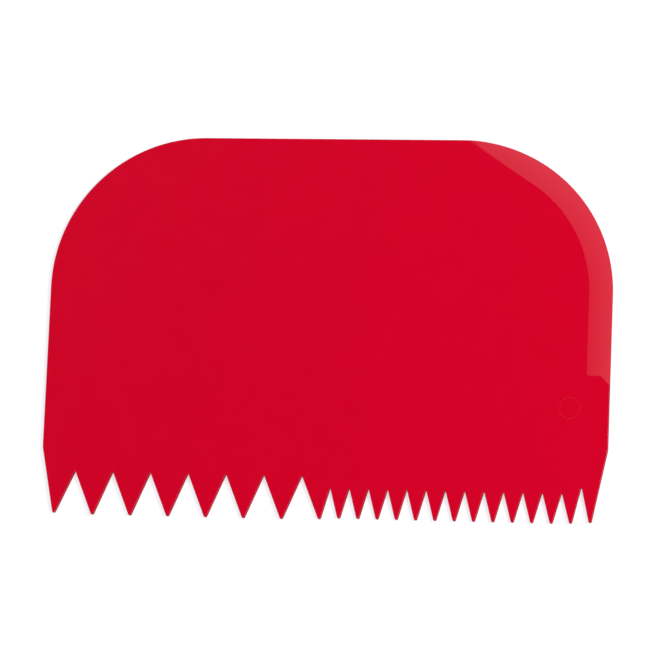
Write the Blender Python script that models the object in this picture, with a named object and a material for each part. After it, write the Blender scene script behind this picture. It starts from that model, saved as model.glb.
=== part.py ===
"""A decorating scraper: one moulded plastic card, flat on its back, with teeth along its near side.

The card lies in the XY plane with its underside at z = 0, its teeth towards -Y and its two large round
corners towards +Y. Its width and its length are centred on the origin.
"""

import math

import bmesh
import bpy
from mathutils import Matrix, Vector

MM = 0.001

# The card
CARD_WIDTH = 148.0 * MM
CARD_LENGTH = 100.0 * MM
CARD_THICKNESS = 1.6 * MM
LARGE_CORNER_RADIUS = 40.0 * MM
EDGE_ROUNDING = 0.2 * MM

# Where each side turns in towards the end tooth, above the line of the sharp tooth points
LEFT_CORNER_RISE = 18.0 * MM
RIGHT_CORNER_RISE = 20.3 * MM
SIDE_CORNER_RADIUS = 3.0 * MM

# The gullets between the teeth, from left to right. A depth runs from the line of the sharp tooth points
# to the sharp bottom of the V, before both are rounded.
WIDE_GULLETS = 7
WIDE_PITCH = 10.0 * MM
WIDE_DEPTH = 12.0 * MM
NARROW_GULLETS = 14
NARROW_PITCH = 5.0 * MM
NARROW_DEPTH = 9.1 * MM
LAST_GULLET_DEPTH = 10.8 * MM
TOOTH_TIP_RADIUS = 0.4 * MM
GULLET_ROOT_RADIUS = 0.15 * MM

# How far the left end tooth's sharp point stands out from where the spacing of the teeth alone would put it
LEFT_POINT_OUTSET = 0.4 * MM

# The bevelled band, which thins the card's edge round its right large corner. It starts part way down the
# right side, follows the corner, and then runs off straight through the far edge. Its lower end is square to
# the side, with a small radius at the band's inner line, and slants off at the card's edge.
BAND_WIDTH = 6.0 * MM
BAND_EDGE_DROP = 1.0 * MM
BAND_SIDE_LENGTH = 21.3 * MM
BAND_CORNER_SWEEP = math.radians(57.0)
BAND_END_RADIUS = 1.0 * MM
BAND_END_SLANT = 2.5 * MM

# How far the cutters reach past what they cut
CUTTER_MARGIN = 2.0 * MM

# How far the block that ends the band stands out of the card's side, so that their faces don't coincide
STOP_OVERHANG = 0.05 * MM

# Segments in each round stretch
LARGE_CORNER_STEPS = 40
TOOTH_TIP_STEPS = 6
GULLET_ROOT_STEPS = 4
SIDE_CORNER_STEPS = 4
EDGE_STEPS = 2
BAND_STEPS = 27
BAND_END_STEPS = 6

# Neighbouring faces that meet at a sharper angle than this keep a crisp edge
CRISP_EDGE_ANGLE = math.radians(50.0)

RED_PLASTIC = (0.631, 0.001, 0.020, 1.0)
RED_PLASTIC_ROUGHNESS = 0.3


def clear_scene():
    for thing in list(bpy.data.objects):
        bpy.data.objects.remove(thing, do_unlink=True)


def rounded(before, corner, after):
    """Points along the arc that rounds a corner. A corner is (x, y, radius, steps)."""
    radius, steps = corner[2:]
    here = Vector(corner[:2])
    to_before = (Vector(before[:2]) - here).normalized()
    to_after = (Vector(after[:2]) - here).normalized()
    half_angle = to_before.angle(to_after) / 2
    inwards = (to_before + to_after).normalized()
    centre = here + inwards * radius / math.sin(half_angle)
    start = here + to_before * radius / math.tan(half_angle) - centre
    sweep = (math.pi - 2 * half_angle) * (1 if to_before.cross(to_after) < 0 else -1)
    turns = [Matrix.Rotation(sweep * step / steps, 2) for step in range(steps + 1)]
    return [tuple(centre + turn @ start) for turn in turns]


def gullets():
    """(width, depth) of each gullet, from left to right."""
    wide = [(WIDE_PITCH, WIDE_DEPTH)] * WIDE_GULLETS
    narrow = [(NARROW_PITCH, NARROW_DEPTH)] * (NARROW_GULLETS - 1)
    return wide + narrow + [(NARROW_PITCH, LAST_GULLET_DEPTH)]


def toothed_side():
    """Corners from the left side to the right side, with the sharp tooth points on y = 0."""
    turn = (SIDE_CORNER_RADIUS, SIDE_CORNER_STEPS)
    tip = (TOOTH_TIP_RADIUS, TOOTH_TIP_STEPS)
    root = (GULLET_ROOT_RADIUS, GULLET_ROOT_STEPS)
    row = gullets()
    half_row = sum(width for width, depth in row) / 2
    corners = [(-CARD_WIDTH / 2, LEFT_CORNER_RISE, *turn), (-half_row - LEFT_POINT_OUTSET, 0.0, *tip)]
    point = -half_row
    for width, depth in row:
        corners.append((point + width / 2, depth, *root))
        point += width
        corners.append((point, 0.0, *tip))
    return [*corners, (CARD_WIDTH / 2, RIGHT_CORNER_RISE, *turn)]


def card_outline():
    """Points round the card's edge, anticlockwise seen from above and centred on the origin."""
    row = toothed_side()
    lowest = min(y for trio in zip(row, row[1:], row[2:]) for x, y in rounded(*trio))
    far = (lowest + CARD_LENGTH, LARGE_CORNER_RADIUS, LARGE_CORNER_STEPS)
    corners = [*row, (CARD_WIDTH / 2, *far), (-CARD_WIDTH / 2, *far)]
    trios = zip(corners[-1:] + corners[:-1], corners, corners[1:] + corners[:1])
    middle = lowest + CARD_LENGTH / 2
    return [(x, y - middle) for trio in trios for x, y in rounded(*trio)]


def object_from(shape, name):
    """A linked object with this bmesh as its mesh, its faces pointing outwards."""
    bmesh.ops.recalc_face_normals(shape, faces=shape.faces)
    mesh = bpy.data.meshes.new(name)
    shape.to_mesh(mesh)
    shape.free()
    made = bpy.data.objects.new(name, mesh)
    bpy.context.scene.collection.objects.link(made)
    return made


def as_cutter(cutter):
    cutter.hide_render = True
    cutter.display_type = "WIRE"
    return cutter


def cut(target, cutter):
    boolean = target.modifiers.new("cut " + cutter.name, "BOOLEAN")
    boolean.operation = "DIFFERENCE"
    boolean.solver = "EXACT"
    boolean.object = cutter


def extrude(shape, face, offset):
    """Pulls a face out by an offset and returns the face at the far end."""
    grown = bmesh.ops.extrude_face_region(shape, geom=[face])["geom"]
    moved = [part for part in grown if isinstance(part, bmesh.types.BMVert)]
    bmesh.ops.translate(shape, verts=moved, vec=offset)
    return next(part for part in grown if isinstance(part, bmesh.types.BMFace))


def red_plastic():
    material = bpy.data.materials.new("red moulded polypropylene")
    material.use_nodes = True
    material.diffuse_color = RED_PLASTIC
    shader = material.node_tree.nodes["Principled BSDF"]
    shader.inputs["Base Color"].default_value = RED_PLASTIC
    shader.inputs["Roughness"].default_value = RED_PLASTIC_ROUGHNESS
    shader.inputs["Metallic"].default_value = 0.0
    return material


def plain_card():
    """The card at full thickness, with its outer edges rounded."""
    shape = bmesh.new()
    underside = shape.faces.new([shape.verts.new((x, y, 0.0)) for x, y in card_outline()])
    extrude(shape, underside, Vector((0.0, 0.0, CARD_THICKNESS)))
    rims = [edge for edge in shape.edges if edge.verts[0].co.z == edge.verts[1].co.z]
    bmesh.ops.bevel(
        shape,
        geom=rims,
        offset=EDGE_ROUNDING,
        segments=EDGE_STEPS,
        profile=0.5,
        affect="EDGES",
        material=-1,
    )
    return object_from(shape, "scraper_card")


def band_cutter():
    """A wedge swept along the band, whose sloping floor leaves the bevel."""
    centre = Vector((CARD_WIDTH / 2 - LARGE_CORNER_RADIUS, CARD_LENGTH / 2 - LARGE_CORNER_RADIUS))
    inner_radius = LARGE_CORNER_RADIUS - BAND_WIDTH
    slope = BAND_EDGE_DROP / BAND_WIDTH
    reach = BAND_WIDTH + CUTTER_MARGIN

    # (distance outwards from the band's inner line, height above the card's face)
    section = [
        (-CUTTER_MARGIN, slope * CUTTER_MARGIN),
        (reach, -slope * reach),
        (reach, CUTTER_MARGIN),
        (-CUTTER_MARGIN, CUTTER_MARGIN),
    ]

    # (angle round the corner, distance straight on from there)
    stations = [(0.0, -(BAND_SIDE_LENGTH + BAND_END_SLANT + CUTTER_MARGIN))]
    stations += [(BAND_CORNER_SWEEP * step / BAND_STEPS, 0.0) for step in range(BAND_STEPS + 1)]
    stations += [(BAND_CORNER_SWEEP, LARGE_CORNER_RADIUS)]

    shape = bmesh.new()
    rings = []
    for angle, onwards in stations:
        turn = Matrix.Rotation(angle, 2)
        spots = [centre + turn @ Vector((inner_radius + outwards, onwards)) for outwards, height in section]
        heights = [CARD_THICKNESS + height for outwards, height in section]
        rings.append([shape.verts.new((*spot, height)) for spot, height in zip(spots, heights)])
    for here, there in zip(rings, rings[1:]):
        for corner in range(len(section)):
            shape.faces.new((here[corner - 1], here[corner], there[corner], there[corner - 1]))
    shape.faces.new(rings[0])
    shape.faces.new(rings[-1])
    return as_cutter(object_from(shape, "band_cutter"))


def band_stop():
    """The block that ends the band on the right side."""
    top = CARD_LENGTH / 2 - LARGE_CORNER_RADIUS - BAND_SIDE_LENGTH
    low = top - BAND_END_SLANT - 2 * CUTTER_MARGIN
    inner = CARD_WIDTH / 2 - BAND_WIDTH
    left = inner - 2 * CUTTER_MARGIN
    outer = CARD_WIDTH / 2 + STOP_OVERHANG
    slant_low = (outer, top - BAND_END_SLANT)
    slant_top = (outer - BAND_END_SLANT, top, BAND_END_RADIUS, BAND_END_STEPS)
    fillet = (inner, top, BAND_END_RADIUS, BAND_END_STEPS)
    past_fillet = (inner - BAND_END_RADIUS / 2, top + CUTTER_MARGIN)
    plan = [(left, low), (outer, low), slant_low]
    plan += rounded(slant_low, slant_top, fillet)
    plan += rounded(slant_top, fillet, past_fillet)
    plan += [past_fillet, (left, top + CUTTER_MARGIN)]
    shape = bmesh.new()
    base = shape.faces.new([shape.verts.new((x, y, -CUTTER_MARGIN)) for x, y in plan])
    extrude(shape, base, Vector((0.0, 0.0, CARD_THICKNESS + 3 * CUTTER_MARGIN)))
    return as_cutter(object_from(shape, "band_stop"))


def scraper_card():
    card = plain_card()
    cutter = band_cutter()
    cut(cutter, band_stop())
    cut(card, cutter)
    card.data.materials.append(red_plastic())
    card.data.shade_smooth()
    card.data.set_sharp_from_angle(angle=CRISP_EDGE_ANGLE)
    card.modifiers.new("even shading", "WEIGHTED_NORMAL")
    return card


clear_scene()
scraper_card()
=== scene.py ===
"""The finished look of a decorating scraper: one card of red moulded polypropylene on a pale floor."""

import math

import bmesh
import bpy
from mathutils import Matrix, Vector


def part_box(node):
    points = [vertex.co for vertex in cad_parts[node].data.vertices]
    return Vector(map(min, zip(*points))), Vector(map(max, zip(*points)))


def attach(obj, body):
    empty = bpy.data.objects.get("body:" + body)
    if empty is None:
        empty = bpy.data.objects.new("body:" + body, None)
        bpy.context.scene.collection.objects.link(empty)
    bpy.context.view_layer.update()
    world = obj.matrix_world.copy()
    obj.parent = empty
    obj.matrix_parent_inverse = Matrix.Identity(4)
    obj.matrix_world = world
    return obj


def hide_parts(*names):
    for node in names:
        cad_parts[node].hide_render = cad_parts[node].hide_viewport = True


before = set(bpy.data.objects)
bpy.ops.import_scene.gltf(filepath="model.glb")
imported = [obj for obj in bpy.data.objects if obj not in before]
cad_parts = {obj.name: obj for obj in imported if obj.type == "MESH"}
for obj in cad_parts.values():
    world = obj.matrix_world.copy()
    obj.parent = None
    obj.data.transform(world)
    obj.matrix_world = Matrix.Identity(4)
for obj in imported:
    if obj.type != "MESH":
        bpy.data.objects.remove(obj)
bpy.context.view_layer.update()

MM = 0.001
FULL_TURN = math.radians(360.0)

card_low, card_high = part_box("scraper_card")
CARD_TOP = card_high.z
CARD_MIDDLE = (card_low + card_high) / 2

# The bevelled band on the right corner: its drop at the card's edge, how far it swells halfway across, and
# how many strips it is cut into for that
BAND_DROP = 1.0 * MM
BAND_CROWN = 0.05 * MM
BAND_STRIPS = 7

# The finer rounding where the band meets the card's walls
RIM_ROUNDING = 0.2 * MM
RIM_STEPS = 3

# The plain ring engraved low on the right of the front face
RING_CENTRE = Vector((63.9 * MM, -19.5 * MM, CARD_TOP))
RING_RADIUS = 2.7 * MM
RING_STEPS = 72
GROOVE_WIDTH = 0.5 * MM
GROOVE_DEPTH = 0.016 * MM
GROOVE_STEPS = 128

# Shallow round marks that the mould's ejector pins leave on the back
PIN_MARK_RADIUS = 2.5 * MM
PIN_MARK_DEPTH = 0.06 * MM
PIN_MARK_SPOTS = [(x * MM, y * MM) for x in (-52.0, 0.0, 52.0) for y in (-26.0, 30.0)]

# The dimple on the back where the plastic was fed in, with the trimmed stub inside it
GATE_SPOT = (0.0, 2.0 * MM)
GATE_RADIUS = 2.2 * MM
GATE_FLOOR_RADIUS = 1.87 * MM
GATE_DEPTH = 0.35 * MM
STUB_RADIUS = 0.7 * MM
STUB_FOOT_RADIUS = 0.84 * MM
STUB_HEIGHT = 0.25 * MM

# How far the cutters of the marks and the dimple reach below the back, and their steps round
CUTTER_REACH = 1.0 * MM
CUTTER_STEPS = 48

# How much of a normal points up on the flat front face, and on the band at its steepest and its flattest
FLAT_UPWARD = 0.9999
STEEPEST_UPWARD = 0.95
FLATTEST_UPWARD = 0.995

# Corners closer than this are merged
MERGE_DISTANCE = 0.0005 * MM

# Faces that meet at less than this are joined
FLAT_ANGLE = math.radians(0.1)

# Edges sharper than this stay crisp
CRISP_ANGLE = math.radians(50.0)

# The finish changes from a wall's to a face's as this much of the normal points up or down
WALL_UPWARD = 0.9
FACE_UPWARD = 0.975

# The plastic's roughness on its walls, and on its faces from the glossiest patch to the dullest
WALL_ROUGHNESS = 0.75
GLOSSIEST_PATCH = 0.11
DULLEST_PATCH = 0.16
PLASTIC_IOR = 1.49

# How wide the patterns in the plastic are, and how high the waves and the grain stand
CLOUD_WIDTH = 12.0 * MM
PATCH_WIDTH = 5.0 * MM
WAVE_WIDTH = 22.0 * MM
WAVE_HEIGHT = 0.06 * MM
GRAIN_WIDTH = 0.5 * MM
GRAIN_HEIGHT = 0.003 * MM

# The camera, as found by fitting the card's outline to the photograph
CAMERA_AIM = Vector((-0.53 * MM, 0.76 * MM, CARD_TOP))
CAMERA_AZIMUTH = math.radians(48.04)
CAMERA_ELEVATION = math.radians(77.16)
CAMERA_ROLL = math.radians(-46.40)
CAMERA_DISTANCE = 1051.0 * MM
PIXELS_PER_METRE = 3852.0
IMAGE_PIXELS = 650
SENSOR_WIDTH_MM = 36.0

# The dome that lights the card. Radii are in plan, where the dome's own is 1. It is dark in the opening, and
# pales outwards from there until it reaches its full level.
OPENING_CENTRE = (-0.10, 0.05, 0.0)
OPENING_RADIUS = 0.18
PALE_RADIUS = 0.486
PALE_LEVEL = 1.1

# The dome's skirt, which dims downwards to this share of the light
SKIRT_LOW = math.radians(15.0)
SKIRT_TOP = math.radians(55.0)
SKIRT_SHARE = 0.15

# The dome's light is a little cool, which makes what the red plastic mirrors pink rather than orange
DOME_COLOUR = (1.0, 1.0, 1.15, 1.0)

# The white backdrop that the camera sees in place of the skirt, and how high up it fades out
BACKDROP_LOW = math.radians(15.0)
BACKDROP_TOP = math.radians(38.0)

# The paper on the floor, and how much it glows for the camera close to the card and far from it
PAPER_HALF_SIZE = 4.0
PAPER_ROUGHNESS = 0.5
NEAR_PAPER = 0.3
FAR_PAPER = 1.0
NEAR_GLOW = 0.62
FAR_GLOW = 0.68


def linear(code):
    """A hex sRGB colour as linear RGBA."""
    channels = [int(code[start : start + 2], 16) / 255 for start in (1, 3, 5)]
    return (*[c / 12.92 if c <= 0.04045 else ((c + 0.055) / 1.055) ** 2.4 for c in channels], 1.0)


def node(tree, kind, inputs=None, **settings):
    """Adds a node with its settings. Each input is either a socket to link from or a constant."""
    made = tree.nodes.new(kind)
    for name, value in settings.items():
        setattr(made, name, value)
    for name, value in (inputs or {}).items():
        if isinstance(value, bpy.types.NodeSocket):
            tree.links.new(value, made.inputs[name])
        else:
            made.inputs[name].default_value = value
    return made


def new_material(name):
    material = bpy.data.materials.new(name)
    material.use_nodes = True
    material.node_tree.nodes.clear()
    return material


def red_polypropylene():
    """Injection-moulded polypropylene with a dense red pigment.

    The faces come from polished steel and have a soft gloss, broken close up by a very fine grain and at a
    low angle by the slow waves of a thin moulding. The walls come from the mould's eroded sides and are
    matt.
    They have the same pigment as the faces, but are given a darker copy of the red as painted shade.
    """
    material = new_material("red moulded polypropylene")
    tree = material.node_tree
    texture = node(tree, "ShaderNodeTexCoord").outputs
    place = texture["Object"]

    # 1 on the faces, 0 on the walls
    normal = node(tree, "ShaderNodeSeparateXYZ", {"Vector": texture["Normal"]}).outputs
    upward = node(tree, "ShaderNodeMath", {0: normal["Z"]}, operation="ABSOLUTE").outputs["Value"]
    change = {"Value": upward, "From Min": WALL_UPWARD, "From Max": FACE_UPWARD}
    face = node(tree, "ShaderNodeMapRange", change, interpolation_type="SMOOTHSTEP").outputs["Result"]

    # Pigment that didn't mix quite evenly, and painted shade that makes the walls darker
    cloud_pattern = {"Vector": place, "Scale": 1 / CLOUD_WIDTH, "Detail": 3.0}
    clouds = node(tree, "ShaderNodeTexNoise", cloud_pattern).outputs["Fac"]
    shades = {"Factor": clouds, "A": linear("#CE0123"), "B": linear("#D20125")}
    pigment = node(tree, "ShaderNodeMix", shades, data_type="RGBA").outputs["Result"]
    # The darker red on the walls is painted shade, not a different pigment
    painted_wall_shade = {"Factor": face, "A": linear("#BC0120"), "B": pigment}
    colour = node(tree, "ShaderNodeMix", painted_wall_shade, data_type="RGBA").outputs["Result"]

    # Gloss of the faces, uneven in patches, and mattness of the walls
    patch_pattern = {"Vector": place, "Scale": 1 / PATCH_WIDTH, "Detail": 4.0, "Roughness": 0.6}
    patches = node(tree, "ShaderNodeTexNoise", patch_pattern).outputs["Fac"]
    polish = {"Value": patches, "To Min": GLOSSIEST_PATCH, "To Max": DULLEST_PATCH}
    gloss = node(tree, "ShaderNodeMapRange", polish).outputs["Result"]
    sheen = {"Factor": face, "A": WALL_ROUGHNESS, "B": gloss}
    roughness = node(tree, "ShaderNodeMix", sheen).outputs["Result"]

    # Waves of the moulding, and the grain that polishing leaves. The real grain is too fine to show at this
    # size, so it is drawn several times as coarse.
    wave_pattern = {"Vector": place, "Scale": 1 / WAVE_WIDTH, "Detail": 1.0}
    waves = node(tree, "ShaderNodeTexNoise", wave_pattern).outputs["Fac"]
    grain_pattern = {"Vector": place, "Scale": 1 / GRAIN_WIDTH, "Detail": 2.0, "Roughness": 0.6}
    grain = node(tree, "ShaderNodeTexNoise", grain_pattern).outputs["Fac"]
    relief = {"Height": waves, "Strength": 1.0, "Distance": WAVE_HEIGHT}
    waved = node(tree, "ShaderNodeBump", relief).outputs["Normal"]
    fine_relief = {"Height": grain, "Strength": 1.0, "Distance": GRAIN_HEIGHT, "Normal": waved}
    grained = node(tree, "ShaderNodeBump", fine_relief).outputs["Normal"]

    finish = {
        "Base Color": colour,
        "Roughness": roughness,
        "Normal": grained,
        "IOR": PLASTIC_IOR,
        "Metallic": 0.0,
    }
    surface = node(tree, "ShaderNodeBsdfPrincipled", finish).outputs["BSDF"]
    node(tree, "ShaderNodeOutputMaterial", {"Surface": surface})
    return material


def seen_directly(tree):
    """1 for what the camera sees, also in a reflection or through glass, and 0 for what lights things."""
    path = node(tree, "ShaderNodeLightPath").outputs
    through = {0: path["Is Glossy Ray"], 1: path["Is Transmission Ray"]}
    either = node(tree, "ShaderNodeMath", through, operation="ADD").outputs["Value"]
    rays = {0: path["Is Camera Ray"], 1: either}
    return node(tree, "ShaderNodeMath", rays, operation="ADD", use_clamp=True).outputs["Value"]


def studio_paper():
    """Matt pale paper. It glows for the camera, so that it looks white but keeps the shadow.

    It glows a little more far from the card, where less light falls from the lamp.
    """
    material = new_material("matt pale studio paper")
    tree = material.node_tree
    finish = {"Color": linear("#C0C0C0"), "Roughness": PAPER_ROUGHNESS}
    paper = node(tree, "ShaderNodeBsdfDiffuse", finish).outputs["BSDF"]
    place = node(tree, "ShaderNodeTexCoord").outputs["Object"]
    away = node(tree, "ShaderNodeVectorMath", {0: place}, operation="LENGTH").outputs["Value"]
    reach = {"Value": away, "From Min": NEAR_PAPER, "From Max": FAR_PAPER}
    rise = {**reach, "To Min": NEAR_GLOW, "To Max": FAR_GLOW}
    level = node(tree, "ShaderNodeMapRange", rise).outputs["Result"]
    factors = {0: level, 1: seen_directly(tree)}
    strength = node(tree, "ShaderNodeMath", factors, operation="MULTIPLY").outputs["Value"]
    glow = node(tree, "ShaderNodeEmission", {"Strength": strength}).outputs["Emission"]
    both = node(tree, "ShaderNodeAddShader", {0: paper, 1: glow}).outputs["Shader"]
    node(tree, "ShaderNodeOutputMaterial", {"Surface": both})
    return material


def object_from(shape, name):
    """A linked object with this bmesh as its mesh."""
    mesh = bpy.data.meshes.new(name)
    shape.to_mesh(mesh)
    shape.free()
    made = bpy.data.objects.new(name, mesh)
    bpy.context.scene.collection.objects.link(made)
    return made


def slopes(face):
    """True for a face of the bevelled band, which leans a little off the flat."""
    return STEEPEST_UPWARD < face.normal.z < FLATTEST_UPWARD


def merge_flats(shape):
    """Makes one face of each flat area, so that the area keeps its shading flat right up to its edge."""
    bmesh.ops.dissolve_limit(shape, angle_limit=FLAT_ANGLE, verts=shape.verts, edges=shape.edges)


def crown_band(shape):
    """Swells the band's slope a little, so that it turns away from the lip to the card's edge."""
    shape.normal_update()
    for strip in range(1, BAND_STRIPS):
        band = [face for face in shape.faces if slopes(face)]
        edges = dict.fromkeys(edge for face in band for edge in face.edges)
        corners = dict.fromkeys(corner for face in band for corner in face.verts)
        bmesh.ops.bisect_plane(
            shape,
            geom=[*band, *edges, *corners],
            plane_co=(0.0, 0.0, CARD_TOP - BAND_DROP * strip / BAND_STRIPS),
            plane_no=(0.0, 0.0, 1.0),
            dist=MERGE_DISTANCE,
        )
    for corner in {corner for face in shape.faces if slopes(face) for corner in face.verts}:
        share = (CARD_TOP - corner.co.z) / BAND_DROP
        corner.co.z += BAND_CROWN * 4 * share * (1 - share)


def round_rim(shape):
    """Rounds the crisp edges that the band leaves at the card's rim and at its own lower end."""
    shape.normal_update()
    rim = [
        edge
        for edge in shape.edges
        if len(edge.link_faces) == 2
        and edge.calc_face_angle() > CRISP_ANGLE
        and any(slopes(face) for face in edge.link_faces)
    ]
    bmesh.ops.bevel(
        shape,
        geom=rim,
        offset=RIM_ROUNDING,
        segments=RIM_STEPS,
        profile=0.5,
        affect="EDGES",
        clamp_overlap=True,
        material=-1,
    )
    bmesh.ops.remove_doubles(shape, verts=shape.verts, dist=MERGE_DISTANCE)


def round_points(radius, steps):
    """(x, y) of each point round a circle about the origin."""
    turns = [FULL_TURN * step / steps for step in range(steps)]
    return [(radius * math.cos(turn), radius * math.sin(turn)) for turn in turns]


def turned(name, profile, steps, centre, closed):
    """A cutter turned round the upright axis through the centre.

    Its profile is a row of (radius, height above the centre). A closed profile joins up, and an open one
    gets a flat cap at each end. Building it corner by corner keeps their order the same in each run.
    """
    shape = bmesh.new()
    rings = []
    for radius, height in profile:
        spots = [centre + Vector((x, y, height)) for x, y in round_points(radius, steps)]
        rings.append([shape.verts.new(spot) for spot in spots])
    if closed:
        rings.append(rings[0])
    else:
        shape.faces.new(rings[0])
        shape.faces.new(rings[-1])
    for ring, following in zip(rings, rings[1:]):
        for step in range(steps):
            shape.faces.new((ring[step - 1], ring[step], following[step], following[step - 1]))
        if ring[0].co.z == following[0].co.z:
            # A flat step is as few faces as can go round it: one narrow face and all the others as one
            bmesh.ops.dissolve_faces(shape, faces=shape.faces[1 - steps :])
    bmesh.ops.recalc_face_normals(shape, faces=shape.faces)
    return object_from(shape, name)


def groove_cutter():
    """A thin ring whose lower part presses the groove into the front face."""
    radius = (GROOVE_WIDTH**2 / 4 + GROOVE_DEPTH**2) / (2 * GROOVE_DEPTH)
    lift = radius - GROOVE_DEPTH
    profile = [(RING_RADIUS + out, lift + up) for out, up in round_points(radius, GROOVE_STEPS)]
    return turned("ring_groove", profile, RING_STEPS, RING_CENTRE, closed=True)


def pin_mark_cutter(number, spot):
    profile = [(PIN_MARK_RADIUS, PIN_MARK_DEPTH), (PIN_MARK_RADIUS, -CUTTER_REACH)]
    return turned(f"pin_mark_{number}", profile, CUTTER_STEPS, Vector((*spot, card_low.z)), closed=False)


def gate_cutter():
    profile = [
        (STUB_RADIUS, GATE_DEPTH - STUB_HEIGHT),
        (STUB_FOOT_RADIUS, GATE_DEPTH),
        (GATE_FLOOR_RADIUS, GATE_DEPTH),
        (GATE_RADIUS, 0.0),
        (GATE_RADIUS, -CUTTER_REACH),
    ]
    return turned("gate_dimple", profile, CUTTER_STEPS, Vector((*GATE_SPOT, card_low.z)), closed=False)


def cut(piece, cutters):
    """Cuts the hollows into the piece's own mesh, and removes the cutters."""
    for cutter in cutters:
        boolean = piece.modifiers.new(cutter.name, "BOOLEAN")
        boolean.operation = "DIFFERENCE"
        boolean.solver = "EXACT"
        boolean.object = cutter
    seen = piece.evaluated_get(bpy.context.evaluated_depsgraph_get())
    whole = piece.data
    piece.data = bpy.data.meshes.new_from_object(seen)
    piece.modifiers.clear()
    bpy.data.meshes.remove(whole)
    for cutter in cutters:
        bpy.data.objects.remove(cutter, do_unlink=True)


def is_crisp(edge):
    """True along the band's lip and where two faces meet sharply."""
    flat = any(face.normal.z > FLAT_UPWARD for face in edge.link_faces)
    lip = flat and any(slopes(face) for face in edge.link_faces)
    return lip or edge.calc_face_angle() > CRISP_ANGLE


def shade(mesh):
    """Smooth shading, broken at the crisp edges."""
    shape = bmesh.new()
    shape.from_mesh(mesh)
    merge_flats(shape)
    for face in shape.faces:
        face.smooth = True
    for edge in shape.edges:
        edge.smooth = not is_crisp(edge)
    shape.to_mesh(mesh)
    shape.free()


def moulded_card():
    """The card's solid, with the fine shapes that its mould leaves."""
    shape = bmesh.new()
    shape.from_mesh(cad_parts["scraper_card"].data)
    bmesh.ops.remove_doubles(shape, verts=shape.verts, dist=MERGE_DISTANCE)
    merge_flats(shape)
    crown_band(shape)
    round_rim(shape)
    card = object_from(shape, "moulded_card")
    marks = [pin_mark_cutter(number, spot) for number, spot in enumerate(PIN_MARK_SPOTS, 1)]
    cut(card, [groove_cutter(), gate_cutter(), *marks])
    card.data.materials.clear()
    card.data.materials.append(red_polypropylene())
    shade(card.data)
    even = card.modifiers.new("even shading", "WEIGHTED_NORMAL")
    even.keep_sharp = True
    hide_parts("scraper_card")
    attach(card, "root")


def floor():
    shape = bmesh.new()
    bmesh.ops.create_grid(shape, x_segments=1, y_segments=1, size=PAPER_HALF_SIZE)
    bmesh.ops.translate(shape, verts=shape.verts, vec=(0.0, 0.0, card_low.z))
    made = object_from(shape, "floor")
    made.data.materials.append(studio_paper())


def placing(axes, spot):
    """The matrix that turns a thing's own axes to these three and moves it to the spot."""
    return Matrix([(*row, shift) for row, shift in zip(zip(*axes), spot)]).to_4x4()


def photograph_camera():
    across = math.cos(CAMERA_ELEVATION)
    back = Vector(
        (
            across * math.sin(CAMERA_AZIMUTH),
            -across * math.cos(CAMERA_AZIMUTH),
            math.sin(CAMERA_ELEVATION),
        )
    )
    level = Vector((math.cos(CAMERA_AZIMUTH), math.sin(CAMERA_AZIMUTH), 0.0))
    right = Matrix.Rotation(CAMERA_ROLL, 3, back) @ level
    up = back.cross(right)
    data = bpy.data.cameras.new("photograph camera")
    data.sensor_width = SENSOR_WIDTH_MM
    data.lens = PIXELS_PER_METRE * CAMERA_DISTANCE / IMAGE_PIXELS * SENSOR_WIDTH_MM
    made = bpy.data.objects.new("photograph camera", data)
    made.matrix_world = placing((right, up, back), CAMERA_AIM + back * CAMERA_DISTANCE)
    bpy.context.scene.collection.objects.link(made)
    bpy.context.scene.camera = made


def softbox(name, towards, edge, distance, size, radiance):
    """A square soft lamp, which faces the card from the direction towards.

    Two of its sides run along the direction edge. Its power is what gives it this radiance.
    """
    towards = Vector(towards).normalized()
    across = Vector(edge).cross(towards).normalized()
    along = towards.cross(across)
    light = bpy.data.lights.new(name, "AREA")
    light.shape = "SQUARE"
    light.size = size
    light.energy = radiance * math.pi * size**2
    lamp = bpy.data.objects.new(name, light)
    lamp.matrix_world = placing((across, along, towards), CARD_MIDDLE + towards * distance)
    lamp.visible_camera = False
    bpy.context.scene.collection.objects.link(lamp)


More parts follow.
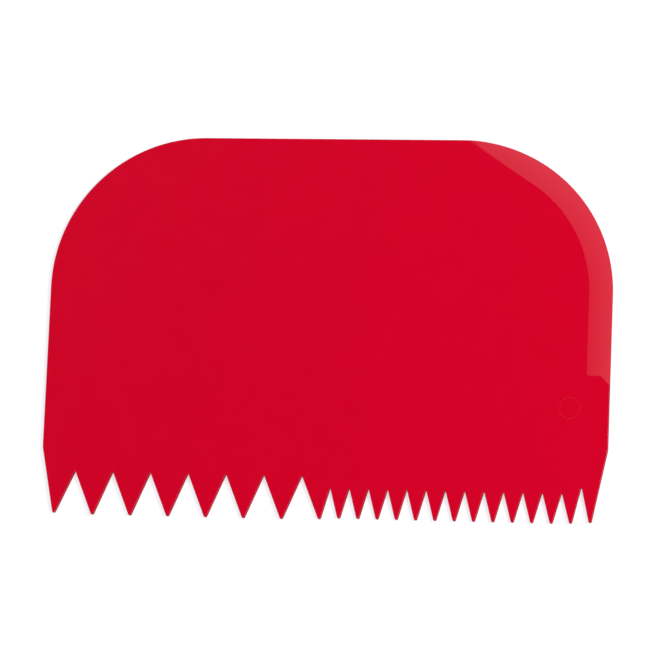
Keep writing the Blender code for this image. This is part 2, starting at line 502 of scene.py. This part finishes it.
def pale_dome():
    """A pale dome with a round dark opening overhead, which is what the flat face mirrors.

    The dome pales outwards from the opening, and it is dim near the floor, so that the card's walls stay
    darker than its face. There the camera sees it white, as the backdrop.
    """
    world = bpy.data.worlds.new("pale dome")
    world.use_nodes = True
    tree = world.node_tree
    tree.nodes.clear()
    direction = node(tree, "ShaderNodeTexCoord").outputs["Generated"]
    axes = node(tree, "ShaderNodeSeparateXYZ", {"Vector": direction}).outputs

    # The opening and the dome round it
    plan = node(tree, "ShaderNodeCombineXYZ", {"X": axes["X"], "Y": axes["Y"]}).outputs["Vector"]
    ends = {0: plan, 1: OPENING_CENTRE}
    off_centre = node(tree, "ShaderNodeVectorMath", ends, operation="DISTANCE").outputs["Value"]
    paling = {"Value": off_centre, "From Min": OPENING_RADIUS, "From Max": PALE_RADIUS, "To Max": PALE_LEVEL}
    dome = node(tree, "ShaderNodeMapRange", paling).outputs["Result"]

    # The skirt
    rise = {"Value": axes["Z"], "From Min": math.sin(SKIRT_LOW), "From Max": math.sin(SKIRT_TOP)}
    skirt = {**rise, "To Min": SKIRT_SHARE}
    dimming = node(tree, "ShaderNodeMapRange", skirt, interpolation_type="SMOOTHSTEP").outputs["Result"]
    light = node(tree, "ShaderNodeMath", {0: dome, 1: dimming}, operation="MULTIPLY").outputs["Value"]

    # The backdrop, for the camera alone
    rise = {"Value": axes["Z"], "From Min": math.sin(BACKDROP_LOW), "From Max": math.sin(BACKDROP_TOP)}
    fade = {**rise, "To Min": 1.0, "To Max": 0.0}
    white = node(tree, "ShaderNodeMapRange", fade, interpolation_type="SMOOTHSTEP").outputs["Result"]
    factors = {0: white, 1: seen_directly(tree)}
    backdrop = node(tree, "ShaderNodeMath", factors, operation="MULTIPLY").outputs["Value"]

    strength = node(tree, "ShaderNodeMath", {0: light, 1: backdrop}, operation="MAXIMUM").outputs["Value"]
    glow = {"Color": DOME_COLOUR, "Strength": strength}
    background = node(tree, "ShaderNodeBackground", glow).outputs["Background"]
    node(tree, "ShaderNodeOutputWorld", {"Surface": background})
    bpy.context.scene.world = world


def studio():
    pale_dome()
    softbox(
        "right softbox",
        towards=(0.62, 0.10, 0.78),
        edge=(0.0, 1.0, 0.0),
        distance=0.85,
        size=0.22,
        radiance=22.7,
    )


photograph_camera()
studio()
floor()
moulded_card()
bpy.context.scene.view_settings.view_transform = "Standard"
